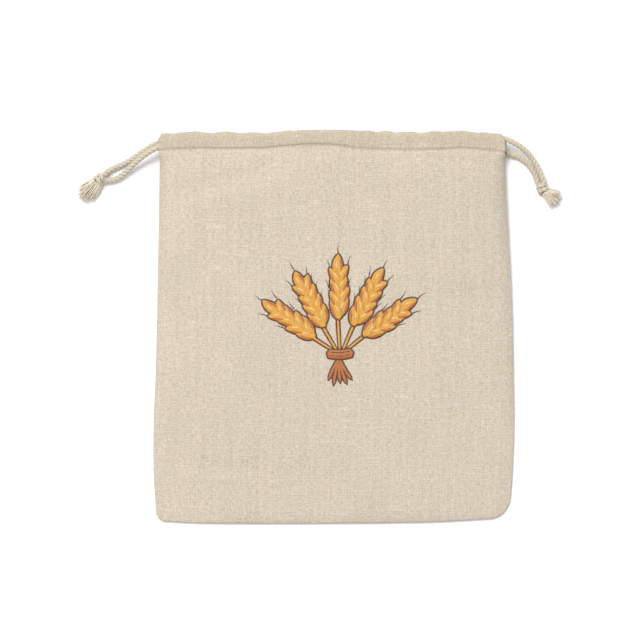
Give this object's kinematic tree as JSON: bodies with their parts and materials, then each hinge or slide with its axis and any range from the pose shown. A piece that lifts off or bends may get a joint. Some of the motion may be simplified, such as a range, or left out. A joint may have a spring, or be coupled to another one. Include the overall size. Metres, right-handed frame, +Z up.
{
  "type": "flat drawstring bread bag of linen",
  "caption": "Flat cloth bread bag with a drawstring casing round its mouth, two twisted cords and a knotted, frayed end on each side",
  "frame": {"origin": "centre of the bag's box in the plan, at the level of the surface it lies on; the free cords are left out", "axes": "+X right, +Y towards the mouth, +Z up from the surface"},
  "size_m": [0.3007, 0.2434, 0.0192],
  "materials": {
    "linen": "natural, coarse plain weave with slubs, matt",
    "cotton_cord": "natural, soft three-ply twist, matt"
  },
  "bodies": {
    "root": {"front_panel": "linen", "back_panel": "linen", "left_cord_in_casing": "cotton_cord", "right_cord_in_casing": "cotton_cord", "left_cord_end_upper": "cotton_cord", "left_cord_end_lower": "cotton_cord", "right_cord_end_upper": "cotton_cord", "right_cord_end_lower": "cotton_cord", "left_knot": "cotton_cord", "right_knot": "cotton_cord"}
  },
  "joints": []
}
